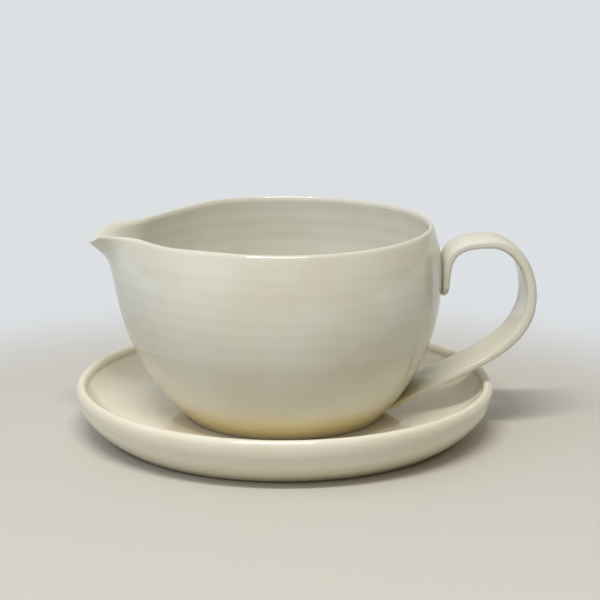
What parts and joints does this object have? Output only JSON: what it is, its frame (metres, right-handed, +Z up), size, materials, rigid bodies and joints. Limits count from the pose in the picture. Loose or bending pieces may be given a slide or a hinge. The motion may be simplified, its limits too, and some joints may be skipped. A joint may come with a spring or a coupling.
{
  "type": "gravy boat",
  "caption": "Round thrown jug with a pulled pouring spout and a strap handle, standing loose on a rimmed saucer that catches drips; for serving gravy or sauce.",
  "frame": {"origin": "middle of the saucer's flat foot, on the table", "axes": "+Z up along the axis that the jug and saucer share, +X from the spout to the handle, +Y away from the viewer of the picture"},
  "size_m": [0.1815, 0.1646, 0.0828],
  "materials": {
    "saucer_glaze": "glossy cream glaze on thrown stoneware",
    "jug_glaze": "glossy cream glaze on thrown stoneware",
    "slip_glaze": "glossy cream glaze over smoothed luting slip"
  },
  "bodies": {
    "saucer": {"saucer": "saucer_glaze"},
    "jug": {"bowl": "jug_glaze", "handle": "jug_glaze", "upper_handle_slip": "slip_glaze", "lower_handle_slip": "slip_glaze"}
  },
  "joints": [
    {"name": "jug_lift", "type": "slide", "parent": "saucer", "child": "jug", "axis": [0, 0, 1], "range_m": [0, 0.1]}
  ]
}
